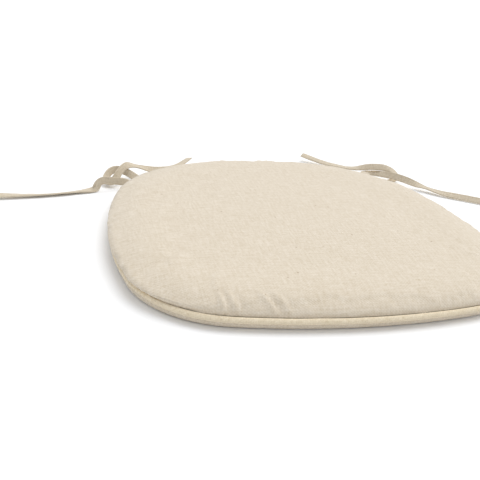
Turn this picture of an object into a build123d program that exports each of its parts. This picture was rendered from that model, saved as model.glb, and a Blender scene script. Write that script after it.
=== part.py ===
"""Tie-on seat cushion: a thin crowned pad with a piped edge, a back zip and two pairs of fabric ties.

The origin is the centre of the underside, +Y points to the back edge (the side with the ties) and
+Z points up. All sizes are in millimetres. Every round-the-edge piece is placed by two values: its
inset, which is how far it lies inside the seam line of the plan, and its height above the underside.
"""

from build123d import *
import math
import os

os.makedirs("parts", exist_ok=True)

# Plan of the pad, over the piping
cushion_width = 400.0
cushion_depth = 400.0
back_bow = 103.280  # how far an edge's middle stands out from the ends of its full width
side_bow = 52.017
front_bow = 33.350
back_corner_radius = 140.0
front_corner_radius = 100.0
widest_from_centre = -40.0  # the widest place, measured from mid depth

# Cover
fabric = 0.8
fit_gap = 0.1  # between soft layers that only lie against each other
piping_diameter = 5.5
piping_wall = 0.6
seam_allowance = 8.0

# Crown of the top panel
crown_lift = 0.3  # the top panel stands this far off its own allowance before it rolls inwards
crown_rise = 15.6
crown_width = 50.0
crown_fullness = 2.2  # exponent of the crown's rounded shoulder

# Filling
wadding = 3.0
foam_inset = 12.0

# Zip in the back seam, under the piping
zip_length = 192.7  # along the seam
zip_height = 4.6  # middle of the chain
zip_row_gap = 0.6
zip_row_height = 1.5
zip_row_thickness = 1.1
zip_tape = 0.5
panel_cut_height = 2.0  # the bottom panel stops here behind the zip
stop_length = 2.5
stop_height = 4.0
stop_thickness = 1.3

# Slider and its pull
slider_length = 8.0
slider_height = 4.6
slider_gap = 0.2
slider_to_piping = 0.15
front_plate = 1.2
back_plate = 0.6
web_thickness = 0.2
web_length = 2.5
ear_thickness = 0.6
ear_length = 2.6
pin_radius = 0.5
pin_clearance = 0.1
knuckle_wall = 0.5
knuckle_clearance = 0.3
pull_length = 20.0
pull_height = 2.4
pull_thickness = 0.9

# Ties: each pair is caught in the seam at a back corner and held by a bar tack
tie_diameter = 4.0
tack_angle = 46.0  # round the back corner's arc, from straight back
tack_length = 12.0
tack_width = 3.0
tack_height = 0.6
tack_inset = 5.0
run_share = 0.45  # of the shorter run beside a corner, taken by the corner's arc
# from the place where the pair leaves the seam, and above the underside
tie_routes = {
    "left_tie_long": [
        (-3.8, -2.9, 4.6), (-10.4, 1.7, 6), (-20.4, 2.7, 9), (-35.4, 0.7, 11), (-46.4, -1.3, 12),
        (-50.9, -3.3, 8), (-52.9, -5.3, 2.4), (-63.4, -8.3, 2), (-76.4, -11.8, 2),
        (-95.4, -17.3, 2), (-117.4, -21.3, 2.2), (-143.4, -24.3, 3), (-168.4, -27.3, 4.5),
        (-191.4, -34.3, 4.5), (-207.4, -46.3, 4),
    ],
    "left_tie_short": [
        (2.8, 4, 4.6), (0.6, 11.7, 6), (-5.4, 22.7, 8), (-14.4, 33.7, 10.5), (-25.4, 36.7, 12.5),
        (-34.4, 28.7, 11.5), (-39.4, 18.7, 7), (-38.4, 11.7, 4.5), (-33.4, 8.2, 5),
        (-28.4, 11.7, 9.5), (-22.4, 20.7, 16), (-12.4, 33.7, 19.5), (1.6, 43.7, 13),
        (16.6, 50.7, 7), (31.6, 54.7, 4.5), (47.6, 62.7, 4), (61.6, 73.7, 6.5), (73.6, 85.7, 10),
    ],
    "right_tie_long": [
        (3.8, -2.9, 4.6), (4.4, 5.7, 5.5), (2.4, 17.7, 12), (3.4, 31.7, 10.5), (12.4, 38.7, 7.5),
        (23.4, 34.7, 8), (31.4, 24.7, 10), (40.4, 14.7, 11), (51.4, 6.7, 9.5), (63.4, -3.3, 6.5),
        (74.4, -13.3, 5), (86.4, -26.3, 4), (102.4, -38.3, 4), (121.4, -50.3, 4), (140.4, -63.3, 4),
        (157.4, -75.3, 4.5),
    ],
    "right_tie_short": [
        (-2.8, 4, 4.6), (0.4, 10.7, 2.5), (10.4, 15.7, 2.2), (24.4, 16.7, 2.2), (37.4, 17.7, 3),
        (47.4, 22.7, 7.5), (44.4, 31.7, 12.5), (33.4, 35.7, 15.5), (22.4, 36.7, 16),
        (11.4, 39.7, 15), (2.4, 46.7, 10.5), (-6.6, 56.7, 7), (-18.6, 70.7, 5), (-30.6, 84.7, 4),
        (-42.6, 96.7, 5.5), (-55.1, 106.7, 8),
    ],
}

# Seam stack, worked out from the values above
half_width = (cushion_width - piping_diameter) / 2
half_depth = (cushion_depth - piping_diameter) / 2
back_radius = (half_width**2 + back_bow**2) / (2 * back_bow)
side_radius = (half_depth**2 + side_bow**2) / (2 * side_bow)
front_radius = (half_width**2 + front_bow**2) / (2 * front_bow)
piping_radius = piping_diameter / 2
piping_height = zip_height + slider_height / 2 + slider_to_piping + piping_radius
edge_inset = piping_radius + fit_gap  # the panels start just inside the piping
allowance_inset = edge_inset + seam_allowance
flange_low = piping_height - piping_wall
flange_high = piping_height + piping_wall
top_ply_high = flange_high + fabric
bottom_ply_low = flange_low - fabric
crown_start = top_ply_high + fabric + crown_lift
back_arc_centre = half_depth - back_radius
back_axis = Axis((0, back_arc_centre, 0), (0, 0, 1))
zip_half_angle = math.degrees(zip_length / 2 / back_radius)


def outline(inset, height):
    """The plan of the pad, a given inset inside the seam line, as a face at a height."""
    with BuildSketch(Plane.XY.offset(height)) as plan:
        with Locations((0, back_arc_centre)):
            Circle(back_radius - inset)
        with Locations((0, front_radius - half_depth)):
            Circle(front_radius - inset, mode=Mode.INTERSECT)
        for side, turn in ((1, 180), (-1, 0)):
            centre = (side * (half_width - side_radius), widest_from_centre, 0)
            with Locations(Location(centre, (0, 0, turn))):
                Circle(side_radius - inset, mode=Mode.INTERSECT)
        fillet(plan.vertices().sort_by(Axis.Y)[:2], front_corner_radius - inset)
        fillet(plan.vertices().sort_by(Axis.Y)[-2:], back_corner_radius - inset)
    return plan.sketch.face()


def outlines(profile):
    """The outlines of a list of (inset, height) pairs, as the sections of a ruled loft."""
    return [outline(inset, height) for inset, height in profile]


def crown_height(inset, layer):
    """Height of the surface that lies a layer's thickness under the top panel's outside."""
    share = min(1.0, max(0.0, (inset - edge_inset - layer) / crown_width))
    shoulder = (1 - (1 - share) ** crown_fullness) ** (1 / crown_fullness)
    return crown_start - layer + crown_rise * shoulder


def crown(layer, start_inset):
    """(inset, height) pairs up the crown, from an inset to the flat top."""
    climb = edge_inset + layer + crown_width - start_inset
    insets = [start_inset + climb * share for share in (0.0, 0.03, 0.1, 0.22, 0.4, 0.65, 1.0)]
    return [(inset, crown_height(inset, layer)) for inset in insets]


def underside(layer, base, top):
    """(inset, height) pairs up the rolled lower edge, a layer inside the bottom panel's outside."""
    rolled = ((6.0, 0.0), (4.0, 0.5), (3.2, 1.6), (edge_inset, 3.0))
    return [(inset + layer, height + base) for inset, height in rolled] + [(edge_inset + layer, top)]


def back_plane(angle):
    """An upright plane through the back arc's centre: x is the distance from it, y is the height."""
    outwards = Vector(-math.sin(math.radians(angle)), math.cos(math.radians(angle)), 0)
    return Plane(
        origin=(0, back_arc_centre, 0), x_dir=outwards, z_dir=outwards.cross(Vector(0, 0, 1))
    )


def back_band(outer_inset, inner_inset, low, high, span, mode=Mode.ADD):
    """Add a band along the back edge, or cut it: two insets, two heights and two angles bound it."""
    with BuildSketch(back_plane(span[0])) as section:
        with Locations((back_radius - (inner_inset + outer_inset) / 2, (low + high) / 2)):
            Rectangle(inner_inset - outer_inset, high - low)
    revolve(section.sketch, axis=back_axis, revolution_arc=span[1] - span[0], mode=mode)


def arc_degrees(length):
    """The angle that a length takes along the back seam."""
    return math.degrees(length / back_radius)


def corner_point(side, inset):
    """The point of a back corner at the tack's angle, at an inset. side is -1 on the left, or 1."""
    arcs = outline(0, 0).edges().sort_by(lambda edge: abs(edge.radius - back_corner_radius))[:2]
    centre = max((arc.arc_center for arc in arcs), key=lambda place: place.X)
    turn = math.radians(tack_angle)
    reach = back_corner_radius - inset
    return Vector(side * (centre.X + reach * math.sin(turn)), centre.Y + reach * math.cos(turn), 0)


pieces = {}

# Piping: a bias strip folded round a filler cord, its two plies running into the seam
seam_wire = outline(0, piping_height).outer_wire()
seam_start = Plane(origin=seam_wire @ 0, z_dir=seam_wire % 0)

with BuildPart() as piping_cover:
    with BuildSketch(seam_start):
        Circle(piping_radius)
    sweep(path=seam_wire)
    extrude(outline(piping_radius - piping_wall / 2, flange_low), amount=2 * piping_wall)
    extrude(outline(allowance_inset, flange_low), amount=2 * piping_wall, mode=Mode.SUBTRACT)
    with BuildSketch(seam_start):
        Circle(piping_radius - piping_wall)
    sweep(path=seam_wire, mode=Mode.SUBTRACT)
pieces["piping_cover"] = piping_cover

with BuildPart() as piping_cord:
    with BuildSketch(seam_start):
        Circle(piping_radius - piping_wall - fit_gap)
    sweep(path=seam_wire)
pieces["piping_cord"] = piping_cord

# Top panel: the crowned upper face, with its allowance turned in over the piping's
lining_inset = edge_inset + fabric

with BuildPart() as top_panel:
    loft(outlines([(edge_inset, flange_high)] + crown(0, edge_inset)), ruled=True)
    lining = [(lining_inset, top_ply_high)] + crown(fabric, lining_inset)
    loft(outlines(lining), ruled=True, mode=Mode.SUBTRACT)
    extrude(outline(allowance_inset, flange_high), amount=fabric, mode=Mode.SUBTRACT)
pieces["top_panel"] = top_panel

zip_span = (-zip_half_angle, zip_half_angle)

# Bottom panel: a shallow dish that the pad rests on, cut away behind the zip
with BuildPart() as bottom_panel:
    loft(outlines(underside(0, 0, flange_low)), ruled=True)
    loft(outlines(underside(fabric, fabric, bottom_ply_low)), ruled=True, mode=Mode.SUBTRACT)
    extrude(outline(allowance_inset, bottom_ply_low), amount=fabric, mode=Mode.SUBTRACT)
    cut_inset = allowance_inset + fabric
    back_band(0, cut_inset, panel_cut_height, piping_height, zip_span, mode=Mode.SUBTRACT)
pieces["bottom_panel"] = bottom_panel

# Zip: two tapes, each with its row of coils, and a stop at each end
tape_inset = lining_inset + 2 * fit_gap
tape_back = tape_inset + zip_tape
row_front = tape_inset - zip_row_thickness
rows_half_angle = zip_half_angle - arc_degrees(stop_length)
upper_row_low = zip_height + zip_row_gap / 2
lower_row_high = zip_height - zip_row_gap / 2
row_span = (-rows_half_angle, rows_half_angle)

with BuildPart() as zip_tape_upper:
    back_band(tape_inset, tape_back, upper_row_low, flange_low, zip_span)
    back_band(tape_inset, allowance_inset, flange_low - zip_tape, flange_low, zip_span)
pieces["zip_tape_upper"] = zip_tape_upper

with BuildPart() as zip_tape_lower:
    back_band(tape_inset, tape_back, panel_cut_height, lower_row_high, zip_span)
pieces["zip_tape_lower"] = zip_tape_lower

with BuildPart() as zip_row_upper:
    back_band(row_front, tape_inset, upper_row_low, upper_row_low + zip_row_height, row_span)
pieces["zip_row_upper"] = zip_row_upper

with BuildPart() as zip_row_lower:
    back_band(row_front, tape_inset, lower_row_high - zip_row_height, lower_row_high, row_span)
pieces["zip_row_lower"] = zip_row_lower

with BuildPart() as zip_stops:
    stop_low = zip_height - stop_height / 2
    stop_front = tape_inset - stop_thickness
    for stop_span in ((-zip_half_angle, -rows_half_angle), (rows_half_angle, zip_half_angle)):
        back_band(stop_front, tape_inset, stop_low, stop_low + stop_height, stop_span)
pieces["zip_stops"] = zip_stops

# Slider, at the closed end of the zip: two plates round the chain, joined by a thin web that runs
# between the rows, and two ears with the pin that the pull turns on
slider_half = arc_degrees(slider_length) / 2
closed_angle = -(rows_half_angle - arc_degrees(slider_gap) - slider_half)
slider_span = (closed_angle - slider_half, closed_angle + slider_half)
plate_back = row_front - slider_gap
plate_front = plate_back - front_plate
knuckle_radius = pin_radius + pin_clearance + knuckle_wall
pin_inset = plate_front - knuckle_clearance - knuckle_radius
slider_low = zip_height - slider_height / 2
ear_low = zip_height - pull_height / 2 - slider_gap - ear_thickness
ear_high = zip_height + pull_height / 2 + slider_gap
pin_plane = back_plane(closed_angle)
pin_place = pin_plane.origin + pin_plane.x_dir * (back_radius - pin_inset)

with BuildPart() as zip_slider:
    slider_high = slider_low + slider_height
    back_plate_front = tape_back + slider_gap
    web_low = zip_height - web_thickness / 2
    web_span = (slider_span[0], slider_span[0] + arc_degrees(web_length))
    back_band(plate_front, plate_back, slider_low, slider_high, slider_span)
    back_band(back_plate_front, back_plate_front + back_plate, slider_low, slider_high, slider_span)
    back_band(plate_back, back_plate_front, web_low, web_low + web_thickness, web_span)
    ear_half = arc_degrees(ear_length) / 2
    ear_span = (closed_angle - ear_half, closed_angle + ear_half)
    for low in (ear_low, ear_high):
        back_band(pin_inset - pin_radius, plate_front, low, low + ear_thickness, ear_span)
    with BuildSketch(Plane(origin=(pin_place.X, pin_place.Y, ear_low))):
        Circle(pin_radius)
    extrude(amount=ear_high + ear_thickness - ear_low)
pieces["zip_slider"] = zip_slider

along_zip = Vector(0, 0, 1).cross(pin_plane.x_dir)
with BuildPart() as zip_pull:
    pull_low = zip_height - pull_height / 2
    with BuildSketch(Plane(origin=(pin_place.X, pin_place.Y, pull_low), x_dir=along_zip)):
        Circle(knuckle_radius)
        with Locations((pull_length / 2, 0)):
            Rectangle(pull_length, pull_thickness)
        Circle(pin_radius + pin_clearance, mode=Mode.SUBTRACT)
    extrude(amount=pull_height)
    far_end = zip_pull.faces().sort_by(Axis(pin_place, along_zip))[-1]
    fillet(far_end.edges().filter_by(Axis(pin_place, pin_plane.x_dir)), pull_height / 2 - fit_gap)
pieces["zip_pull"] = zip_pull

# Filling: a foam slab between two layers of polyester wadding, clear of the seam and the zip
foam_base = fabric + wadding
cover_layer = fabric + fit_gap
foam_layer = cover_layer + wadding
wadding_inset = foam_inset - fit_gap
foam_bed = [(wadding_inset, foam_base)] + crown(foam_layer - fit_gap, wadding_inset)

with BuildPart() as foam_core:
    loft(outlines([(foam_inset, foam_base)] + crown(foam_layer, foam_inset)), ruled=True)
pieces["foam_core"] = foam_core

with BuildPart() as wadding_top:
    cover_inset = edge_inset + cover_layer
    loft(outlines([(cover_inset, top_ply_high + fit_gap)] + crown(cover_layer, cover_inset)), ruled=True)
    loft(outlines(foam_bed), ruled=True, mode=Mode.SUBTRACT)
pieces["wadding_top"] = wadding_top

with BuildPart() as wadding_bottom:
    wadding_high = bottom_ply_low - tack_height - fit_gap
    loft(outlines(underside(cover_layer, fabric, wadding_high)), ruled=True)
    extrude(outline(wadding_inset, foam_base), amount=wadding_high - foam_base, mode=Mode.SUBTRACT)
    room_inset = back_plate_front + back_plate + slider_gap
    room_half = zip_half_angle + arc_degrees(slider_gap)
    room_span = (-room_half, room_half)
    back_band(0, room_inset, panel_cut_height, wadding_high, room_span, mode=Mode.SUBTRACT)
pieces["wadding_bottom"] = wadding_bottom

# Ties: the bar tacks that hold each pair, and the four straps, which lie loosely knotted
with BuildPart() as tie_tacks:
    tack_turn = math.radians(tack_angle)
    for side in (-1, 1):
        middle = corner_point(side, tack_inset + tack_width / 2)
        outwards = Vector(side * math.sin(tack_turn), math.cos(tack_turn), 0)
        tack_low = bottom_ply_low - tack_height
        with BuildSketch(Plane(origin=(middle.X, middle.Y, tack_low), x_dir=outwards)):
            Rectangle(tack_width, tack_length)
        extrude(amount=tack_height)
pieces["tie_tacks"] = tie_tacks


def tie_path(route):
    """Straight runs joined by arcs, each as round as its two runs allow."""
    radii = []
    for before, corner, after in zip(route, route[1:], route[2:]):
        run_in = corner - before
        run_out = after - corner
        half_turn = math.radians(run_in.get_angle(run_out)) / 2
        radii.append(run_share * min(run_in.length, run_out.length) / math.tan(half_turn))
    with BuildLine() as path:
        FilletPolyline(*route, radius=radii)
    return path.wire(), radii


for name, route in tie_routes.items():
    root = corner_point(-1 if name.startswith("left") else 1, 0)
    path, radii = tie_path([root + Vector(*step) for step in route])
    with BuildPart() as tie:
        with BuildSketch(Plane(origin=path @ 0, z_dir=path % 0)):
            Circle(tie_diameter / 2)
        sweep(path=path)
    pieces[name] = tie
    full_volume = math.pi * (tie_diameter / 2) ** 2 * path.length
    print(name, "radii", [round(radius) for radius in radii], "length", round(path.length, 1))
    print(name, "volume over section times length", round(tie.part.volume / full_volume, 4))

for name, piece in pieces.items():
    piece.part.label = name
    export_step(piece.part, f"parts/{name}.step")
    print(name, round(piece.part.volume), len(piece.part.solids()))

joint_places = (("zip axis", (0, back_arc_centre)), ("pull pin", (pin_place.X, pin_place.Y)))
for place, point in joint_places:
    print(place, [round(value, 2) for value in point])
print("zip travel", round(-2 * closed_angle, 2), "degrees")
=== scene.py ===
# %% [markdown]
# # A tie-on seat cushion
# A thin pad for a chair: two panels of natural linen and cotton cloth, joined with a piped seam,
# closed with a zip at the back, and held to the chair by two pairs of straps. The imported model
# gives every place and size, and this file dresses it: it loads that frame first.

# %% Load the frame
import math
import random

import bmesh
import bpy
import numpy as np
from mathutils import Matrix, Vector, noise


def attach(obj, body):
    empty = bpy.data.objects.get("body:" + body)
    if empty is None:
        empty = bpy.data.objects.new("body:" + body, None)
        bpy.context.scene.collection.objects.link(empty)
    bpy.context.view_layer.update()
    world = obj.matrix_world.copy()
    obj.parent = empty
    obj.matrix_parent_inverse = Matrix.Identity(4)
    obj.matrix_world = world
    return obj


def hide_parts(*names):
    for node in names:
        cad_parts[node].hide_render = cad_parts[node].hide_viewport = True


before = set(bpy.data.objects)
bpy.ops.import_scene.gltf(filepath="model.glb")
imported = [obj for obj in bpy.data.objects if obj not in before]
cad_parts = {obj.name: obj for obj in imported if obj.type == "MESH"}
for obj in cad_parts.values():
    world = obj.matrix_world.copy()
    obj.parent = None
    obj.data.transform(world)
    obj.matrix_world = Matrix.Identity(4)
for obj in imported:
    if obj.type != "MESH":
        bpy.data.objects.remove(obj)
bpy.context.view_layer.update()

MM = 0.001

# %% [markdown]
# ## Camera
# The pad lies on a white table and is seen from its front left, from a little above, by someone who
# holds the camera slightly askew. A long lens keeps the far edge wide, and the roll tips the front
# edge down to the right. The camera is placed by three angles, so each can be changed on its own.

# %% Camera
camera_place = Vector((-0.2933, -0.8182, 0.3701))
camera_down, camera_round, camera_roll = math.radians(23.56), math.radians(16.0), math.radians(5.49)
lens_mm, sensor_mm = 66.49, 36.0


def looking(down, round_z, roll):
    """The turn of a camera that looks along +Y, first turned round Z, then down, then rolled."""
    right = Vector((math.cos(round_z), -math.sin(round_z), 0))
    forward = Vector((
        math.cos(down) * math.sin(round_z), math.cos(down) * math.cos(round_z), -math.sin(down)))
    up = right.cross(forward)
    level = Matrix((right, up, -forward)).transposed()
    return level @ Matrix.Rotation(roll, 3, "Z")


camera = bpy.data.objects.new("camera", bpy.data.cameras.new("camera"))
camera.data.lens, camera.data.sensor_width = lens_mm, sensor_mm
camera.matrix_world = Matrix.Translation(camera_place) @ looking(
    camera_down, camera_round, camera_roll).to_4x4()
bpy.context.scene.collection.objects.link(camera)
bpy.context.scene.camera = camera
print("camera looks along", [round(value, 3) for value in camera.matrix_world.col[2][:3]])

# %% [markdown]
# ## Colours, nodes and meshes
# Three helpers serve the whole file: colours are written as the hex values a painter would pick and
# turned to linear light once, one function adds any node, and one makes a mesh from grids of points.

# %% Helpers
def linear(hex_colour):
    """An sRGB hex colour as linear light with full opacity."""
    parts = [int(hex_colour[i:i + 2], 16) / 255 for i in (1, 3, 5)]
    return (*[c / 12.92 if c < 0.04045 else ((c + 0.055) / 1.055) ** 2.4 for c in parts], 1.0)


def add_node(tree, kind, inputs=None, **settings):
    """Add a node: its settings by name, and its inputs by name or number, as a value or a link."""
    node = tree.nodes.new(kind)
    for name, value in settings.items():
        setattr(node, name, value)
    for name, value in (inputs or {}).items():
        if isinstance(value, bpy.types.NodeSocket):
            tree.links.new(value, node.inputs[name])
        else:
            node.inputs[name].default_value = value
    return node


def new_material(name):
    """An empty node material with its output, and its tree."""
    material = bpy.data.materials.new(name)
    material.use_nodes = True
    material.node_tree.nodes.clear()
    return material, material.node_tree


def show(tree, shader):
    """Link a shader to the material's output."""
    add_node(tree, "ShaderNodeOutputMaterial", {"Surface": shader.outputs[0]})


def new_piece(name, points, faces, materials, cloth_places=None, smooth=True):
    """A mesh piece. cloth_places are each point's place on the flat cloth, in metres."""
    mesh = bpy.data.meshes.new(name)
    mesh.from_pydata([tuple(p) for p in points], [], faces)
    mesh.update()
    for material in materials:
        mesh.materials.append(material)
    if smooth:
        mesh.polygons.foreach_set("use_smooth", [True] * len(mesh.polygons))
    if cloth_places is not None:
        attribute = mesh.attributes.new("cloth_place", "FLOAT_VECTOR", "POINT")
        attribute.data.foreach_set("vector", np.asarray(cloth_places, np.float32).ravel())
    piece = bpy.data.objects.new(name, mesh)
    bpy.context.scene.collection.objects.link(piece)
    return piece


# %% [markdown]
# ## Cloth
# The cover is a plain weave of linen and cotton, undyed: cream, matt, with thicker threads here and
# there and a few brown flecks of husk. Real threads are about 0.5 mm apart, too fine to be seen at
# this distance, so they are drawn 1.5 mm apart, where they just show as grain. Height comes
# from two crossed waves, and tone from noise pulled long along each thread direction. The
# pattern follows each point's place on the flat cloth, so it bends with the piece.

# %% Woven cloth
def woven_cloth(name, light, dark, thread=1.5 * MM, turn=0.0, sheen=0.25, flecks=0.5, on_cad=False):
    """Plain-woven cloth: two colours, the thread spacing, and the weave's turn on the piece."""
    material, tree = new_material(name)
    if on_cad:
        place = add_node(tree, "ShaderNodeTexCoord").outputs["Object"]
    else:
        place = add_node(tree, "ShaderNodeAttribute", attribute_name="cloth_place").outputs["Vector"]
    turned = add_node(
        tree, "ShaderNodeMapping", {"Vector": place, "Rotation": (0, 0, turn)}).outputs[0]
    # slow, tiny wandering, so that the threads aren't ruled lines
    wander = add_node(tree, "ShaderNodeTexNoise", {"Vector": turned, "Scale": 60, "Detail": 2})
    bent = add_node(tree, "ShaderNodeVectorMath", {
        0: wander.outputs["Color"], 1: (2.2 * thread,) * 3, 2: turned}, operation="MULTIPLY_ADD")
    split = add_node(tree, "ShaderNodeSeparateXYZ", {0: bent.outputs[0]})
    waves = []
    for axis in ("X", "Y"):
        phase = add_node(tree, "ShaderNodeMath", {
            0: split.outputs[axis], 1: math.pi / thread}, operation="MULTIPLY")
        waves.append(add_node(tree, "ShaderNodeMath", {0: phase.outputs[0]}, operation="SINE"))
    crossing = add_node(tree, "ShaderNodeMath", {
        0: waves[0].outputs[0], 1: waves[1].outputs[0]}, operation="MULTIPLY")
    # each thread has its own tone: noise that is fine across the threads and long along them
    tones = []
    for stretch in ((1 / thread, 0.09 / thread, 1), (0.09 / thread, 1 / thread, 1)):
        pulled = add_node(tree, "ShaderNodeMapping", {"Vector": bent.outputs[0], "Scale": stretch})
        tones.append(add_node(tree, "ShaderNodeTexNoise", {
            "Vector": pulled.outputs[0], "Scale": 0.8, "Detail": 2, "Roughness": 0.7}))
    tone = add_node(tree, "ShaderNodeMath", {
        0: tones[0].outputs["Fac"], 1: tones[1].outputs["Fac"]}, operation="ADD")
    mottle = add_node(tree, "ShaderNodeTexNoise", {"Vector": turned, "Scale": 330, "Detail": 3})
    patch = add_node(tree, "ShaderNodeTexNoise", {"Vector": turned, "Scale": 14, "Detail": 3})
    grain = add_node(tree, "ShaderNodeMath", {
        0: mottle.outputs["Fac"], 1: 0.9, 2: tone.outputs[0]}, operation="MULTIPLY_ADD")
    grain = add_node(tree, "ShaderNodeMath", {
        0: patch.outputs["Fac"], 1: 0.15, 2: grain.outputs[0]}, operation="MULTIPLY_ADD")
    # the weave's waves also tone the colour, the raised crossings lighter and the low gaps darker:
    # painted shade in the weave
    grain = add_node(tree, "ShaderNodeMath", {
        0: crossing.outputs[0], 1: 0.12, 2: grain.outputs[0]}, operation="MULTIPLY_ADD")
    share = add_node(tree, "ShaderNodeMapRange", {
        "Value": grain.outputs[0], "From Min": 0.95, "From Max": 2.05})
    cloth = add_node(tree, "ShaderNodeMix", {
        0: share.outputs[0], 6: linear(dark), 7: linear(light)}, data_type="RGBA")
    # husk: rare short flecks
    scatter = add_node(tree, "ShaderNodeTexVoronoi", {
        "Vector": turned, "Scale": 75, "Randomness": 1.0})
    fleck = add_node(tree, "ShaderNodeMapRange", {
        "Value": scatter.outputs["Distance"], "From Min": 0.045, "From Max": 0.10,
        "To Min": flecks, "To Max": 0.0})
    chance = add_node(tree, "ShaderNodeSeparateColor", {0: scatter.outputs["Color"]})
    rare = add_node(tree, "ShaderNodeMath", {0: chance.outputs[0], 1: 0.88}, operation="GREATER_THAN")
    fleck = add_node(tree, "ShaderNodeMath", {
        0: fleck.outputs[0], 1: rare.outputs[0]}, operation="MULTIPLY")
    colour = add_node(tree, "ShaderNodeMix", {
        0: fleck.outputs[0], 6: cloth.outputs[2], 7: linear("#8A6A45")}, data_type="RGBA")
    height = add_node(tree, "ShaderNodeMath", {
        0: tone.outputs[0], 1: 1.2, 2: crossing.outputs[0]}, operation="MULTIPLY_ADD")
    bump = add_node(tree, "ShaderNodeBump", {
        "Height": height.outputs[0], "Strength": 0.55, "Distance": 0.12 * thread})
    shader = add_node(tree, "ShaderNodeBsdfPrincipled", {
        "Base Color": colour.outputs[2], "Roughness": 0.92, "IOR": 1.46, "Normal": bump.outputs[0],
        "Specular IOR Level": 0.25, "Sheen Weight": sheen, "Sheen Roughness": 0.5})
    show(tree, shader)
    return material


linen = woven_cloth("natural_linen_plain_woven", "#E2D7C6", "#C6B79E")
# the piping's copy of the linen is painted lighter than the panels' cloth: painted light on the welt
bias_linen_painted_light = woven_cloth("natural_linen_bias_cut_painted_lighter", "#F0E3CA", "#D1BF9F", turn=math.radians(45))
strap_linen = woven_cloth("natural_linen_folded_strap", "#DDD1BD", "#BCAD93", thread=1.2 * MM)
zip_tape_cloth = woven_cloth(
    "polyester_tape_woven", "#C8BBA4", "#A8987E", thread=0.8 * MM, flecks=0.0, on_cad=True)
print("cloths", [m.name for m in (linen, bias_linen_painted_light, strap_linen, zip_tape_cloth)])

# %% [markdown]
# ## Straps
# Each strap is a strip of the cover's cloth folded over on itself, 9 mm wide, and stitched down along
# one edge. It is soft enough to lie in any curve and to turn on its edge, and each pair has been
# knotted and pulled loose again. A strap is laid along a smooth line through the route's points,
# and a list of leans, one for each point, turns the band: 0 is flat and 90 stands on its edge.

# %% Strap routes
strap_width, strap_thick = 8.8 * MM, 1.4 * MM
strap_root = (142.59, 145.31)  # where the right pair leaves the seam; the left pair mirrors it
strap_routes = {
    "left_tie_long": [
        (-3.8, -2.9, 4.6), (-10.4, 1.7, 6), (-20.4, 2.7, 9), (-35.4, 0.7, 11), (-46.4, -1.3, 12),
        (-50.9, -3.3, 8), (-52.9, -5.3, 2.4), (-63.4, -8.3, 2), (-76.4, -11.8, 2),
        (-95.4, -17.3, 2), (-117.4, -21.3, 2.2), (-143.4, -24.3, 3), (-168.4, -27.3, 4.5),
        (-191.4, -34.3, 4.5), (-207.4, -46.3, 4),
    ],
    "left_tie_short": [
        (2.8, 4, 4.6), (0.6, 11.7, 6), (-5.4, 22.7, 8), (-14.4, 33.7, 10.5), (-25.4, 36.7, 12.5),
        (-34.4, 28.7, 11.5), (-39.4, 18.7, 7), (-38.4, 11.7, 4.5), (-33.4, 8.2, 5),
        (-28.4, 11.7, 9.5), (-22.4, 20.7, 16), (-12.4, 33.7, 19.5), (1.6, 43.7, 13),
        (16.6, 50.7, 7), (31.6, 54.7, 4.5), (47.6, 62.7, 4), (61.6, 73.7, 6.5), (73.6, 85.7, 10),
    ],
    "right_tie_long": [
        (3.8, -2.9, 4.6), (4.4, 5.7, 5.5), (2.4, 17.7, 12), (3.4, 31.7, 10.5), (12.4, 38.7, 7.5),
        (23.4, 34.7, 8), (31.4, 24.7, 10), (40.4, 14.7, 11), (51.4, 6.7, 9.5), (63.4, -3.3, 6.5),
        (74.4, -13.3, 5), (86.4, -26.3, 4), (102.4, -38.3, 4), (121.4, -50.3, 4), (140.4, -63.3, 4),
        (157.4, -75.3, 4.5),
    ],
    "right_tie_short": [
        (-2.8, 4, 4.6), (0.4, 10.7, 2.5), (10.4, 15.7, 2.2), (24.4, 16.7, 2.2), (37.4, 17.7, 3),
        (47.4, 22.7, 7.5), (44.4, 31.7, 12.5), (33.4, 35.7, 15.5), (22.4, 36.7, 16),
        (11.4, 39.7, 15), (2.4, 46.7, 10.5), (-6.6, 56.7, 7), (-18.6, 70.7, 5), (-30.6, 84.7, 4),
        (-42.6, 96.7, 5.5), (-55.1, 106.7, 8),
    ],
}
strap_leans = {
    "left_tie_long": [10, 40, 78, 85, 85, 60, 25, 0, -14, -18, -16, -5, 10, 20, 20],
    "left_tie_short": [0, 25, 50, 65, 70, 60, 30, 0, -20, -40, -60, -50, -5, -30, -45, -30, 0, 18],
    "right_tie_long": [0, 10, 20, 0, -20, -35, -50, -60, -65, -35, 10, -10, -30, -40, -35, -30],
    "right_tie_short": [0, 0, 0, 0, -5, -20, 20, 50, 50, 45, 30, 5, 5, 10, 12, 15],
}


def line_through(name, route):
    """The smooth line that a route's points steer, as closely set points in metres."""
    curve = bpy.data.curves.new(name, "CURVE")
    curve.dimensions = "3D"
    spline = curve.splines.new("NURBS")
    spline.points.add(len(route) - 1)
    for point, place in zip(spline.points, route):
        point.co = (*(value * MM for value in place), 1.0)
    spline.order_u = 3
    spline.use_endpoint_u = True
    spline.resolution_u = 12
    holder = bpy.data.objects.new(name, curve)
    bpy.context.scene.collection.objects.link(holder)
    bpy.context.view_layer.update()
    mesh = bpy.data.meshes.new_from_object(holder)
    line = np.array([vertex.co[:] for vertex in mesh.vertices])
    bpy.data.objects.remove(holder)
    bpy.data.meshes.remove(mesh)
    return line


# %% [markdown]
# ### Making a strap
# A ribbon of rings, one for each point of the line: each ring is a flat rounded loop, set square to the
# line and leaned. The two faces are a little hollow where the stitching pulls them together, and
# the thickness wavers, because it is four layers of cloth. The stitches are real little pieces of
# thread, sunk a quarter into the cloth, and they share the strap's mesh.

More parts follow.
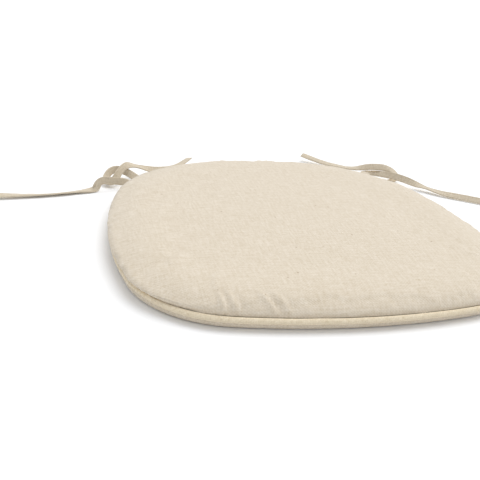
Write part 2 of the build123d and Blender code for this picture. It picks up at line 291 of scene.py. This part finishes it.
# %% Strap maker
thread_material, thread_tree = new_material("spun_polyester_thread")
strand = add_node(thread_tree, "ShaderNodeTexCoord").outputs["Object"]
twist = add_node(thread_tree, "ShaderNodeTexWave", {"Vector": strand, "Scale": 700, "Distortion": 1})
show(thread_tree, add_node(thread_tree, "ShaderNodeBsdfPrincipled", {
    "Base Color": linear("#C4B59A"), "Roughness": 0.75, "IOR": 1.5, "Normal": add_node(
        thread_tree, "ShaderNodeBump",
        {"Height": twist.outputs["Fac"], "Strength": 0.4, "Distance": 0.05 * MM}).outputs[0]}))

stitch_pitch, stitch_long, stitch_radius = 3.0 * MM, 2.1 * MM, 0.24 * MM
stitch_edge = 1.5 * MM  # from the strap's edge to the row of stitches


def stitch(start, end, radius, rings=5, sides=6):
    """Points and faces of one stitch, a small capsule from start to end."""
    along = (end - start).normalized()
    side = along.orthogonal().normalized()
    other = along.cross(side)
    points, faces = [start - along * radius], []
    for i in range(rings):
        angle = math.pi * (i + 1) / (rings + 1)
        centre = start.lerp(end, 0.5 - 0.5 * math.cos(angle)) - along * radius * math.cos(angle)
        for k in range(sides):
            turn = 2 * math.pi * k / sides
            points.append(centre + (side * math.cos(turn) + other * math.sin(turn))
                          * radius * math.sin(angle) ** 0.5)
    points.append(end + along * radius)
    last = len(points) - 1
    for k in range(sides):
        after = (k + 1) % sides
        faces.append((0, 1 + after, 1 + k))
        faces.append((last, last - sides + k, last - sides + after))
        for i in range(rings - 1):
            a, b = 1 + i * sides, 1 + (i + 1) * sides
            faces.append((a + k, a + after, b + after, b + k))
    return points, faces


def ribbon_frames(line, leans):
    """For each point of a line: the band's width direction and its face direction."""
    tangents = np.gradient(line, axis=0)
    tangents /= np.linalg.norm(tangents, axis=1)[:, None]
    steps = np.linspace(0, len(leans) - 1, len(line))
    lean = np.interp(steps, range(len(leans)), np.radians(leans))
    lean = np.convolve(np.pad(lean, 6, mode="edge"), np.ones(13) / 13, mode="valid")
    side = np.cross(tangents, (0, 0, 1))
    side /= np.linalg.norm(side, axis=1)[:, None]
    up = np.cross(side, tangents)
    wide = np.cos(lean)[:, None] * side + np.sin(lean)[:, None] * up
    face = np.cross(wide, tangents)
    return wide, face


def make_strap(name, route, leans, seed):
    """One strap with its row of stitches, laid along its route."""
    line = line_through(name, route)
    wide, face = ribbon_frames(line, leans)
    # the band stays on the table: lift its lowest edge to it
    reach = np.abs(wide[:, 2]) * strap_width / 2 + strap_thick / 2
    line[:, 2] = np.maximum(line[:, 2], reach + 0.1 * MM)
    run = np.concatenate([[0], np.cumsum(np.linalg.norm(np.diff(line, axis=0), axis=1))])
    rng = random.Random(seed)
    loop = []  # one ring of the band: across, up, in half widths and half thicknesses
    sides = 7
    for k in range(sides):
        across = -0.94 + 1.88 * k / (sides - 1)
        loop.append((across, 1 - 0.22 * math.exp(-((across + 0.72) / 0.16) ** 2)))
    loop.append((1.0, 0.35))
    loop.append((1.0, -0.35))
    loop += [(across, -up) for across, up in reversed(loop[:sides])]
    loop.append((-1.0, -0.35))
    loop.append((-1.0, 0.35))
    points, places, faces = [], [], []
    for i, place in enumerate(line):
        thick = strap_thick * (1 + 0.18 * noise.noise((run[i] / (9 * MM), seed, 0)))
        width = strap_width * (1 + 0.04 * noise.noise((run[i] / (14 * MM), seed, 5)))
        ends = min(run[i], run[-1] - run[i]) / (1.2 * MM)
        thick *= min(1.0, 0.35 + 0.65 * ends)
        for across, up in loop:
            ripple = 0.16 * MM * noise.noise((run[i] / (4 * MM), across * 1.5, seed + 9))
            points.append(place + wide[i] * across * width / 2
                          + face[i] * (up * thick / 2 + ripple))
            places.append((across * width / 2 + (0.1 if up < 0 else 0), run[i], 0))
    size = len(loop)
    for i in range(len(line) - 1):
        for k in range(size):
            after = (k + 1) % size
            faces.append((i * size + k, (i + 1) * size + k, (i + 1) * size + after, i * size + after))
    faces.append(tuple(range(size)))
    faces.append(tuple(range(len(points) - 1, len(points) - size - 1, -1)))
    cloth_faces = len(faces)
    # the row of stitches along one edge, on both faces
    for top in (1, -1):
        start = 2.5 * MM
        while start + stitch_long < run[-1] - 2.5 * MM:
            ends = []
            for at in (start, start + stitch_long):
                here = [np.interp(at, run, column) for column in line.T]
                across = np.array([np.interp(at, run, column) for column in wide.T])
                out = np.array([np.interp(at, run, column) for column in face.T])
                sway = rng.uniform(-0.1, 0.1) * MM
                ends.append(Vector(here - across * (strap_width / 2 - stitch_edge + sway)
                                   + top * out * (0.39 * strap_thick)))
            more_points, more_faces = stitch(*ends, stitch_radius)
            base = len(points)
            points += more_points
            places += [(0.0, 0.0, 0.0)] * len(more_points)
            faces += [tuple(base + k for k in f) for f in more_faces]
            start += stitch_pitch
    strap = new_piece(name + "_strap", points, faces, [strap_linen, thread_material], places)
    indexes = np.zeros(len(faces), np.int32)
    indexes[cloth_faces:] = 1
    strap.data.polygons.foreach_set("material_index", indexes)
    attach(strap, name.split("_")[0] + "_ties")
    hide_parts(name)
    print(strap.name, "length", round(run[-1] / MM), "mm, points", len(points))
    return strap


# %% Lay the straps
straps = []
for seed, (name, route) in enumerate(strap_routes.items()):
    root_x, root_y = (-strap_root[0] if name.startswith("left") else strap_root[0]), strap_root[1]
    placed = [(root_x + x, root_y + y, z) for x, y, z in route]
    straps.append(make_strap(name, placed, strap_leans[name], seed))

# %% [markdown]
# ## The plan of the pad
# The seam's outline is eight arcs, each touching the next: back, sides and front, bowed
# gently, and four corners. Every point of it knows its arc's centre, so the same point can be found
# again at any inset, and rings of points made like that always line up. The sizes repeat the CAD.

# %% Outline
piping_radius = 2.75
half_width = 200.0 - piping_radius
half_depth = 200.0 - piping_radius
back_radius, side_radius, front_radius = 240.0, 400.0, 600.0
back_corner, front_corner = 140.0, 100.0
widest = -40.0
steps_round = 600


def corner_centre(centre_a, radius_a, centre_b, radius_b, radius):
    """The centre of an arc that touches two larger arcs from inside, in the plan."""
    reach_a, reach_b = radius_a - radius, radius_b - radius
    apart = centre_b - centre_a
    length = apart.length
    along = (reach_a ** 2 - reach_b ** 2 + length ** 2) / (2 * length)
    off = math.sqrt(reach_a ** 2 - along ** 2)
    foot = centre_a + apart * (along / length)
    across = Vector((-apart.y, apart.x)) / length * off
    return min(foot + across, foot - across, key=lambda c: c.length)


def seam_arcs():
    """The eight arcs, counter-clockwise from the middle of the right side: centre and radius."""
    right = Vector((half_width - side_radius, widest))
    left = Vector((side_radius - half_width, widest))
    back, front = Vector((0, half_depth - back_radius)), Vector((0, front_radius - half_depth))
    right_back = corner_centre(right, side_radius, back, back_radius, back_corner)
    right_front = corner_centre(right, side_radius, front, front_radius, front_corner)
    left_back = Vector((-right_back.x, right_back.y))
    left_front = Vector((-right_front.x, right_front.y))
    return [(right, side_radius), (right_back, back_corner), (back, back_radius),
            (left_back, back_corner), (left, side_radius), (left_front, front_corner),
            (front, front_radius), (right_front, front_corner)]


def seam_points(count):
    """Evenly set points round the seam: arc centres, arc radii, outward directions and run."""
    arcs = seam_arcs()
    joints = []
    for (centre, radius), (after, radius_after) in zip(arcs, arcs[1:] + arcs[:1]):
        line = (after - centre) if radius > radius_after else (centre - after)
        joints.append(math.atan2(line.y, line.x))
    stretches = []
    for k, (centre, radius) in enumerate(arcs):
        start, end = joints[k - 1], joints[k]
        while end < start:
            end += 2 * math.pi
        stretches.append((start, end, radius * (end - start)))
    total = sum(length for *_, length in stretches)
    centres, radii, directions, runs = [], [], [], []
    for i in range(count):
        run = total * i / count
        for (centre, radius), (start, end, length) in zip(arcs, stretches):
            if run <= length:
                break
            run -= length
        angle = start + run / radius
        centres.append(centre[:])
        radii.append(radius)
        directions.append((math.cos(angle), math.sin(angle)))
        runs.append(total * i / count)
    return np.array(centres), np.array(radii), np.array(directions), np.array(runs), total


deep_inset = 53.0
seam_centres, seam_radii, seam_out, seam_run, seam_total = seam_points(steps_round)


def shrink(inset):
    """The size of a deep ring against the ring at deep_inset, where it starts to shrink."""
    return min(1.0, max(0.02, 1 - (inset - deep_inset) / (200 - deep_inset)))


def ring(inset, centres=seam_centres, radii=seam_radii, out=seam_out):
    """The plan's points at an inset in mm. Past deep_inset the ring keeps its shape and shrinks."""
    plan = centres + (radii - min(inset, deep_inset))[:, None] * out
    return plan * shrink(inset)


# 0 along the front and 1 along the sides and the back, where the pad sags over its piping
front_edge, side_edge = -190.0, -128.0
seam_y = ring(0)[:, 1]
side_share = np.clip((seam_y - front_edge) / (side_edge - front_edge), 0, 1)
side_share = side_share ** 2 * (3 - 2 * side_share)
overhang_front, overhang_sides = 0.6, 6.2
tuck = 1.8  # how far the piping is pressed in under the overhang
print("seam", round(seam_total), "mm round, plan", np.ptp(ring(-piping_radius), axis=0).round(1))

# %% [markdown]
# ## The cover's two panels
# Each panel is made as rings that run round the pad, from the seam inwards, so its edge follows the
# seam exactly and its folds are free to run across the rings. The top panel climbs out of the
# seam on a rounded shoulder and then rises slowly to the middle, as foam does under a tight
# cover. The bottom panel rolls under the pad and lies flat, and is open at the back for the zip.

# %% Panel maker
edge_inset = 2.85
crown_start, crown_rise, crown_width, crown_fullness = 12.3, 15.6, 50.0, 2.2
middle_rise = 3.5  # how much higher the middle is than the shoulder


def crown_height(inset):
    """Height of the top panel at an inset."""
    share = min(1.0, max(0.0, (inset - edge_inset) / crown_width))
    shoulder = (1 - (1 - share) ** crown_fullness) ** (1 / crown_fullness)
    return crown_start + crown_rise * shoulder + middle_rise * (1 - shrink(inset) ** 2) ** 1.5


def top_profile():
    """(inset, height) pairs from inside the seam, past the piping's shoulder, to the middle."""
    insets = [edge_inset + 0.004 * 1.6 ** k for k in range(13)]
    insets += list(np.arange(1.9, 60, 2.4) + edge_inset) + list(np.arange(64, 196, 5.5)) + [197.5]
    return [(3.4, 10.4), (2.7, 10.9), (2.15, 11.5), (2.0, 12.0)] + [
        (i, crown_height(i)) for i in sorted(insets)]


bottom_profile = [
    (3.4, 9.2), (2.5, 8.6), (1.9, 7.9), (1.5, 7.3), (1.2, 6.6), (1.0, 5.8), (1.0, 5.0), (1.2, 4.0),
    (1.6, 3.0), (1.95, 2.5), (2.3, 2.0), (3.0, 1.3), (4.0, 0.7), (5.2, 0.3), (6.4, 0.08), (8, 0),
    (12, 0), (20, 0), (40, 0), (70, 0), (110, 0), (150, 0), (190, 0), (197.5, 0)]


def bulge(height):
    """How far, in mm and round the seam, the top panel stands out over its edge at a height."""
    share = (height - crown_start) / crown_rise
    if share < -0.02:
        return np.zeros(steps_round)
    everywhere = 0.85 * math.exp(-share / 0.25)
    overhang = math.exp(-((share - 0.3) / 0.2) ** 2) * (1 - math.exp(-max(share, 0) / 0.06))
    return everywhere + overhang * (overhang_front + (overhang_sides - overhang_front) * side_share)


# the bottom panel is drawn in to the zip tape behind the zip, and a little way past its ends
zip_half_angle, zip_end_blend = math.radians(23.0), math.radians(1.5)
tape_inset, lip_height = 3.5, 2.0
seam_angle = np.arctan2(-seam_out[:, 0], seam_out[:, 1])
drawn_in = np.clip((zip_half_angle + zip_end_blend - np.abs(seam_angle)) / zip_end_blend, 0, 1)
drawn_in = drawn_in ** 2 * (3 - 2 * drawn_in)
# and it stands back a little where the straps come out, which leaves them room to swing
root_away = np.hypot(np.abs(ring(0)[:, 0]) - strap_root[0], ring(0)[:, 1] - strap_root[1])
root_room = np.clip((34 - root_away) / 12, 0, 1)
root_inset = 2.9


def panel(name, profile, upwards):
    """A panel from its profile: points in mm rings, and each point's place on the flat cloth."""
    count, levels = steps_round, len(profile)
    run = np.concatenate([[0], np.cumsum([math.dist(a, b) for a, b in zip(profile, profile[1:])])])
    points, places = [], []
    for (inset, height), so_far in zip(profile, run):
        if upwards:
            plan = ring(inset) + bulge(height)[:, None] * seam_out
        else:
            to_tape = max(0.0, tape_inset - inset) if height > lip_height else 0.0
            pull_in = np.maximum(drawn_in * to_tape, root_room * max(0.0, root_inset - inset))
            plan = ring(inset) - pull_in[:, None] * seam_out
        points.append(np.column_stack([plan, np.full(count, height)]))
        flat = ring(profile[-1][0] - (run[-1] - so_far))
        places.append(np.column_stack([flat, np.zeros(count)]))
    points.append(np.array([[0, 0, profile[-1][1]]]))
    places.append(np.zeros((1, 3)))
    faces = []
    for i in range(levels - 1):
        for j in range(count):
            after = (j + 1) % count
            face = (i * count + j, i * count + after, (i + 1) * count + after, (i + 1) * count + j)
            faces.append(face if upwards else face[::-1])
    for j in range(count):
        face = ((levels - 1) * count + j, (levels - 1) * count + (j + 1) % count, levels * count)
        faces.append(face if upwards else face[::-1])
    return new_piece(
        name, np.vstack(points) * MM, faces, [linen], np.vstack(places) * MM)


cover_top = panel("cover_top", top_profile(), True)
cover_bottom = panel("cover_bottom", bottom_profile, False)

# %% [markdown]
# ### Swelling the top panel
# A sewn cover is never as smooth as its pattern. The stitches draw the edge in a little, so the cloth
# just inside the seam has more length than the seam has, and folds. Cloth simulation finds those
# folds: the panel's edge is pinned to the seam, the cloth is told that it is a little too large,
# and a light pressure lifts it, as the wadding does. Only the folds are kept from it: the mean lift
# of each ring is taken away, the rest is held under a millimetre, and it fades out towards the
# middle, where the cloth is pulled smooth.

# %% Swell the top panel
swell_frames, fold_limit = 20, 0.6 * MM
edge_rings = 4  # pinned to the seam
fold_full, fold_end = 40.0, 72.0  # the folds fade out between these insets, in mm


def coordinates(piece):
    """The points of a mesh as an array."""
    found = np.zeros(len(piece.data.vertices) * 3, np.float32)
    piece.data.vertices.foreach_get("co", found)
    return found.reshape(-1, 3)


def swell(piece, profile):
    """Run the cloth simulation on a panel and keep its folds, limited, in the panel's shape."""
    rest = coordinates(piece)
    pins = piece.vertex_groups.new(name="pins")
    pins.add(list(range(edge_rings * steps_round)), 1.0, "REPLACE")
    cloth = piece.modifiers.new("cloth", "CLOTH")
    settings = cloth.settings
    settings.quality = 6
    settings.mass = 0.25
    settings.tension_stiffness = settings.compression_stiffness = 18
    settings.shear_stiffness = 8
    settings.bending_stiffness = 0.35
    settings.shrink_min = -0.012
    settings.use_pressure = True
    settings.uniform_pressure_force = 1.2
    settings.vertex_group_mass = "pins"
    settings.effector_weights.gravity = 0
    cloth.point_cache.frame_end = swell_frames
    scene = bpy.context.scene
    for frame_number in range(1, swell_frames + 1):
        scene.frame_set(frame_number)
    shape = piece.evaluated_get(bpy.context.evaluated_depsgraph_get()).to_mesh()
    moved = np.zeros(len(shape.vertices) * 3, np.float32)
    shape.vertices.foreach_get("co", moved)
    lift = moved.reshape(-1, 3) - rest
    piece.modifiers.remove(cloth)
    scene.frame_set(1)
    # keep the folds and not the slow rise: take away each ring's mean, then limit what is left
    normals = np.zeros(len(rest) * 3, np.float32)
    piece.data.vertices.foreach_get("normal", normals)
    normals = normals.reshape(-1, 3)
    rise = np.einsum("ij,ij->i", lift, normals)
    rings = rise[:-1].reshape(-1, steps_round)
    rings = rings - rings.mean(1, keepdims=True)
    rings = (np.roll(rings, 1, axis=1) + 2 * rings + np.roll(rings, -1, axis=1)) / 4
    insets = np.array([inset for inset, _ in profile])
    fade = np.clip((fold_end - insets) / (fold_end - fold_full), 0, 1)
    folds = np.append((rings * fade[:, None]).ravel(), 0.0)
    folds = fold_limit * np.tanh(folds / fold_limit) + 0.25 * fold_limit
    folds[: edge_rings * steps_round] = 0
    piece.data.vertices.foreach_set("co", (rest + normals * folds[:, None]).ravel())
    piece.data.update()
    print(piece.name, "folds in mm:", (folds.min() / MM).round(2), "to", (folds.max() / MM).round(2))


swell(cover_top, top_profile())

# %% [markdown]
# ### Puckers and hand
# Where the sewing has drawn the cloth in most, short puckers run in from the seam, each a soft
# ridge with a hollow beside it. They are laid at random places round the seam, with four stronger
# ones at the front, and the whole panel gets the slow unevenness that wadding has under cloth.

# %% Puckers
pucker_rng = random.Random(4)
puckers = []  # run along the seam, reach inwards, width, slant, height; all in mm
for _ in range(150):
    puckers.append((pucker_rng.uniform(0, seam_total), pucker_rng.uniform(7, 20),
                    pucker_rng.uniform(1.6, 3.2), pucker_rng.uniform(-0.7, 0.7),
                    pucker_rng.uniform(0.12, 0.4)))
front_puckers = (((-116, -173), 2.4), ((-104, -174), 1.6), ((-72, -177), 2.2), ((-60, -178), 1.2))
for place, height in front_puckers:
    nearest = np.argmin(np.hypot(*(ring(0) - place).T))
    puckers.append((seam_run[nearest], pucker_rng.uniform(20, 26), pucker_rng.uniform(2.6, 3.2),
                    pucker_rng.uniform(-0.8, -0.4), height))


def pucker_panel(piece, profile, strength, unevenness):
    """Add the puckers near the seam, and slow unevenness all over, along the panel's normals."""
    points = coordinates(piece)
    normals = np.zeros(len(points) * 3, np.float32)
    piece.data.vertices.foreach_get("normal", normals)
    normals = normals.reshape(-1, 3)
    insets = np.repeat([inset for inset, _ in profile], steps_round)
    insets = np.append(insets, 200.0)
    runs = np.append(np.tile(seam_run, len(profile)), 0.0)
    push = np.zeros(len(points))
    for at, reach, width, slant, height in puckers:
        away = (runs - at - slant * insets + seam_total / 2) % seam_total - seam_total / 2
        depth = np.clip((insets - 3) / reach, 0, 1)
        fade = np.sin(np.pi * depth ** 0.55) * (insets < 3 + reach)
        push += strength * height * fade * (
            np.exp(-(away / width) ** 2) - 0.55 * np.exp(-((away - 2 * width) / width) ** 2))
    for scale, size in ((70, 1.0), (28, 0.35), (11, 0.1)):
        wave = np.array([
            noise.noise((x * 1000 / scale, y * 1000 / scale, scale)) for x, y, _ in points])
        push += unevenness * size * wave * np.clip((insets - 3) / 14, 0, 1)
    points += normals * (push * MM)[:, None]
    piece.data.vertices.foreach_set("co", points.ravel())
    piece.data.update()
    print(piece.name, "pushed between", push.min().round(2), "and", push.max().round(2), "mm")


pucker_panel(cover_top, top_profile(), 1.0, 0.55)

# %% Hem, thickness and the zip's opening
panel_cut_height = 2.3 * MM


def open_for_zip(piece):
    """Take away the bottom panel's faces behind the zip."""
    gone = []
    centre_y = (half_depth - back_radius) * MM
    for face in piece.data.polygons:
        x, y, z = face.center
        angle = math.atan2(-x, y - centre_y)
        if abs(angle) < zip_half_angle and y > 0 and z > panel_cut_height:
            gone.append(face.index)
    work = bmesh.new()
    work.from_mesh(piece.data)
    work.faces.ensure_lookup_table()
    bmesh.ops.delete(work, geom=[work.faces[i] for i in gone], context="FACES")
    work.to_mesh(piece.data)
    work.free()


open_for_zip(cover_bottom)
cloth_thickness = 0.6 * MM
for cover, node in ((cover_top, "top_panel"), (cover_bottom, "bottom_panel")):
    thickness = cover.modifiers.new("thickness", "SOLIDIFY")
    thickness.thickness, thickness.offset = cloth_thickness, -1.0
    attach(cover, "pad")
    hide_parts(node)
print("covers", [len(cover.data.polygons) for cover in (cover_top, cover_bottom)])

# %% [markdown]
# ## Soft fillings
# Foam, wadding, cotton cord and sewn thread are all matt and full of small hollows. They could each
# have a pattern of their own, but they are seen only where the cover lets them be, so one noise
# serves them all, at the scale of each one's cells or fibres, and darkens its low places as painted
# shade.

# %% Filling maker
def soft_filling(name, light, dark, scale, depth):
    """A matt filling: cells or fibres of a given scale, with painted shade darkening their hollows."""
    material, tree = new_material(name)
    place = add_node(tree, "ShaderNodeTexCoord").outputs["Object"]
    cells = add_node(tree, "ShaderNodeTexNoise", {"Vector": place, "Scale": scale, "Detail": 5})
    # the low places of the noise are the dark ones: painted shade in the hollows
    tone = add_node(tree, "ShaderNodeMix", {
        0: cells.outputs["Fac"], 6: linear(dark), 7: linear(light)}, data_type="RGBA")
    bump = add_node(tree, "ShaderNodeBump", {
        "Height": cells.outputs["Fac"], "Strength": 0.7, "Distance": depth})
    show(tree, add_node(tree, "ShaderNodeBsdfPrincipled", {
        "Base Color": tone.outputs[2], "Roughness": 0.95, "Normal": bump.outputs[0]}))
    return material


# %% [markdown]
# ## Piping
# A bias strip of the same cloth folded over a cord and caught in the seam. The cord shows as a firm
# round welt. The strip pulls tight over it in slanting ripples, and it swells and thins a little as
# it goes. It is one closed tube whose rings stand square to the seam. Its cloth lies at 45 degrees,
# and it is coloured lighter than the panels' cloth, as painted light on the welt.

# The cord inside it is made on the same line, so that it stays inside where the piping is pressed in.

# %% Piping
piping_height = 9.8
piping_steps, piping_sides = 1500, 18
cord_radius = 2.05
wander_out, wander_up = 0.22, 0.3  # how far the piping strays from its line, in mm
thick_and_thin = 0.035  # how much its radius swells and thins, as a share
ripple_pitch, ripple_slant, ripple_height = 4.1, 1.1, 0.045


def make_piping(name, tube_radius, material):
    """A tube round the pad, along the piping's line: the welt itself, or the cord inside it."""
    centres, radii, out, run, total = seam_points(piping_steps)
    points, places, faces = [], [], []
    for i in range(piping_steps):
        angle_round = 2 * math.pi * i / piping_steps
        circle = (math.cos(angle_round) * 9, math.sin(angle_round) * 9)
        sway = wander_out * noise.noise((*circle, 1.0))
        rise = wander_up * noise.noise((*circle, 7.0))
        swell_here = 1 + thick_and_thin * noise.noise((circle[0] * 3, circle[1] * 3, 3.0))
        pressed = tuck * float(np.interp(run[i], seam_run, side_share))
        centre = centres[i] + out[i] * (radii[i] + sway - pressed)
        for k in range(piping_sides):
            turn = 2 * math.pi * k / piping_sides
            slanted = run[i] + tube_radius * turn * ripple_slant
            shift = 2 * noise.noise((*circle, 12.0))
            pull = ripple_height * math.sin(2 * math.pi * slanted / ripple_pitch + shift)
            thick = tube_radius * swell_here + pull * (0.5 + noise.noise((*circle, 20.0)))
            points.append((*(centre + out[i] * thick * math.cos(turn)),
                           piping_height + rise + thick * math.sin(turn)))
            places.append((run[i], tube_radius * turn, 0))
    for i in range(piping_steps):
        for k in range(piping_sides):
            after, beyond = (k + 1) % piping_sides, (i + 1) % piping_steps
            faces.append((i * piping_sides + k, beyond * piping_sides + k,
                          beyond * piping_sides + after, i * piping_sides + after))
    return new_piece(name, np.array(points) * MM, [f[::-1] for f in faces], [material],
                     np.array(places) * MM)


cord_cotton = soft_filling("cotton_cord_twisted", "#EFE9DC", "#CFC6B2", 900, 0.2 * MM)
piping = make_piping("piping_welt", piping_radius, bias_linen_painted_light)
filler = make_piping("piping_filler", cord_radius, cord_cotton)
for tube, node, slot in ((piping, "piping_cover", "linen"), (filler, "piping_cord", "filler_cord")):
    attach(tube, "pad")
    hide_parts(node)
print("piping", len(piping.data.vertices), "points, and its cord", len(filler.data.vertices))

# %% [markdown]
# ### Painted seam shade
# The seam on each side of the piping shows as a thin dark line, the shade in the crease where the
# stitches pull the cloth down. That shade is painted as a thin dark tube laid in the crease: a line on
# the cloth could slide off it, and a tube follows it exactly. Behind the zip the lower one is drawn in
# with the cloth.

# %% Painted seam shade
painted_seam_shade, painted_seam_shade_tree = new_material("dark_painted_seam_shade")
# dark brown: painted shade for the crease of the piped seam
show(painted_seam_shade_tree, add_node(painted_seam_shade_tree, "ShaderNodeBsdfPrincipled", {
    "Base Color": linear("#75664C"), "Roughness": 0.9, "IOR": 1.5}))


def lay_painted_seam_shade(name, inset, height, thick, drawn):
    """A thin dark tube of painted shade round the pad, in the crease at an inset and a height in mm."""
    sides = 8
    points, faces = [], []
    inwards = inset + np.maximum(drawn_in, 0.7 * root_room) * drawn + 0.6 * tuck * side_share
    for k in range(sides):
        turn = 2 * math.pi * k / sides
        plan = ring(0) - (inwards - thick * math.cos(turn))[:, None] * seam_out
        points.append(np.column_stack([plan, np.full(steps_round, height + thick * math.sin(turn))]))
    for k in range(sides):
        for j in range(steps_round):
            a, b = k * steps_round, (k + 1) % sides * steps_round
            after = (j + 1) % steps_round
            faces.append((a + j, a + after, b + after, b + j))
    line = new_piece(name, np.vstack(points) * MM, faces, [painted_seam_shade])
    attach(line, "pad")
    return line


# two dark tubes of painted shade, one in each crease of the piped seam
seam_lines = [lay_painted_seam_shade("painted_seam_shade_upper", 1.95, 11.95, 0.5, 0.0),
              lay_painted_seam_shade("painted_seam_shade_lower", 1.25, 7.15, 0.45, 2.2)]
print("painted seam shade lines", [len(line.data.vertices) for line in seam_lines])

# %% [markdown]
# ## Zip
# A fine nylon coil zip in the back seam, dyed to match. The CAD tapes stay. The coils are
# drawn as they are: a row of small loops on each tape, and the two rows face each other along the
# middle, with room between them for the slider's divider.

# %% Zip coils
coil_nylon, coil_tree = new_material("dyed_nylon_coil_moulded")
show(coil_tree, add_node(coil_tree, "ShaderNodeBsdfPrincipled", {
    "Base Color": linear("#B9AB90"), "Roughness": 0.38, "IOR": 1.53}))
coil_pitch = 1.5
row_inset, row_thick = 3.3, 1.1
row_offset, loop_half_height, wire_radius = 0.92, 0.6, 0.2
zip_middle = 4.6
rows_half_angle = zip_half_angle - 2.5 / back_radius


def coil_row(name, node, side, phase):
    """One row of coil loops on the back arc. side is 1 for the upper row and -1 for the lower."""
    points, faces = [], []
    centre = Vector((0, half_depth - back_radius, 0))
    count = int(2 * rows_half_angle * back_radius / coil_pitch)
    ring_sides, ring_steps = 6, 14
    for n in range(count):
        angle = -rows_half_angle + (n + 0.5 + phase) * coil_pitch / back_radius
        if angle > rows_half_angle - 0.003:
            break
        outwards = Vector((-math.sin(angle), math.cos(angle), 0))
        along = Vector((-outwards.y, outwards.x, 0))
        middle = centre + outwards * (back_radius - row_inset)
        middle = middle + Vector((0, 0, zip_middle + side * row_offset))
        base = len(points)
        for i in range(ring_steps):
            turn = 2 * math.pi * i / ring_steps
            spoke = outwards * math.cos(turn) * (row_thick / 2 - wire_radius)
            spoke = spoke + Vector((0, 0, math.sin(turn) * loop_half_height))
            for k in range(ring_sides):
                around = 2 * math.pi * k / ring_sides
                points.append(middle + spoke + spoke.normalized() * wire_radius * math.cos(around)
                              + along * (0.3 * math.sin(around) + 0.12 * math.sin(turn)))
        for i in range(ring_steps):
            for k in range(ring_sides):
                a, b = (i + 1) % ring_steps, (k + 1) % ring_sides
                faces.append((base + i * ring_sides + k, base + a * ring_sides + k,
                              base + a * ring_sides + b, base + i * ring_sides + b))
    row = new_piece(name, np.array(points) * MM, faces, [coil_nylon])
    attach(row, "pad")
    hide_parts(node)
    return row


coil_rows = [coil_row("zip_coil_upper", "zip_row_upper", 1, 0.0),
             coil_row("zip_coil_lower", "zip_row_lower", -1, 0.5)]
print("zip coils", [len(row.data.vertices) for row in coil_rows])

# %% [markdown]
# ## Finishes for the pieces that stay as the CAD made them
# The zip's metal is cast zinc plated like old brass, rubbed brighter where fingers touch it. Inside the
# cover, the foam is open-celled and the wadding is fluffy white fibre.

# %% Metal and fillings
brass, brass_tree = new_material("zinc_cast_brass_plated")
brass_place = add_node(brass_tree, "ShaderNodeTexCoord").outputs["Object"]
wear = add_node(brass_tree, "ShaderNodeTexNoise", {"Vector": brass_place, "Scale": 900, "Detail": 4})
brass_tone = add_node(brass_tree, "ShaderNodeMix", {
    0: wear.outputs["Fac"], 6: linear("#6E5B38"), 7: linear("#B79F6B")}, data_type="RGBA")
brass_rough = add_node(brass_tree, "ShaderNodeMapRange", {
    "Value": wear.outputs["Fac"], "To Min": 0.5, "To Max": 0.28})
show(brass_tree, add_node(brass_tree, "ShaderNodeBsdfPrincipled", {
    "Base Color": brass_tone.outputs[2], "Metallic": 1.0, "Roughness": brass_rough.outputs[0]}))


foam = soft_filling("polyurethane_foam_cut", "#F1E6C4", "#D8C99C", 1400, 0.3 * MM)
wadding = soft_filling("polyester_wadding_bonded", "#F6F5F2", "#DEDCD6", 500, 0.6 * MM)
tack_thread = soft_filling("polyester_thread_bar_tack", "#CDBFA4", "#A89878", 2500, 0.1 * MM)
finishes = {
    "zip_tape_upper": zip_tape_cloth, "zip_tape_lower": zip_tape_cloth, "zip_stops": brass,
    "zip_slider": brass, "zip_pull": brass, "foam_core": foam, "wadding_top": wadding,
    "wadding_bottom": wadding, "tie_tacks": tack_thread}
for node, finish in finishes.items():
    cad_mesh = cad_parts[node].data
    cad_mesh.materials.clear()
    cad_mesh.materials.append(finish)
print("finished", sorted(finishes))

# %% [markdown]
# ## Table and light
# A white sweep under soft light from everywhere, with one very wide lamp high at the back right, so
# that the front of the pad is a little darker than its top, and a soft shadow lies in front of it. The
# lamp is a sun with a wide angle, because that lights the whole table evenly.

# %% Table and light
table_white, table_tree = new_material("white_sweep_painted")
show(table_tree, add_node(table_tree, "ShaderNodeBsdfDiffuse", {"Color": linear("#FAFAFA")}))
reach = 150.0
corners = [(-reach, -reach, 0), (reach, -reach, 0), (reach, reach, 0), (-reach, reach, 0)]
floor = new_piece("floor", corners, [(0, 1, 2, 3)], [table_white], smooth=False)

world = bpy.data.worlds.new("studio")
world.use_nodes = True
world.node_tree.nodes["Background"].inputs["Color"].default_value = linear("#F7FAFF")
world.node_tree.nodes["Background"].inputs["Strength"].default_value = 0.75
bpy.context.scene.world = world

overhead = bpy.data.lights.new("overhead_soft", "SUN")
overhead.energy, overhead.angle = 1.85, math.radians(60)
overhead.color = (1.0, 0.985, 0.96)
overhead_holder = bpy.data.objects.new("overhead_soft", overhead)
overhead_holder.rotation_mode = "QUATERNION"
overhead_holder.rotation_quaternion = Vector((-0.45, -0.4, -1.0)).to_track_quat("-Z", "Y")
bpy.context.scene.collection.objects.link(overhead_holder)
bpy.context.scene.view_settings.view_transform = "Standard"
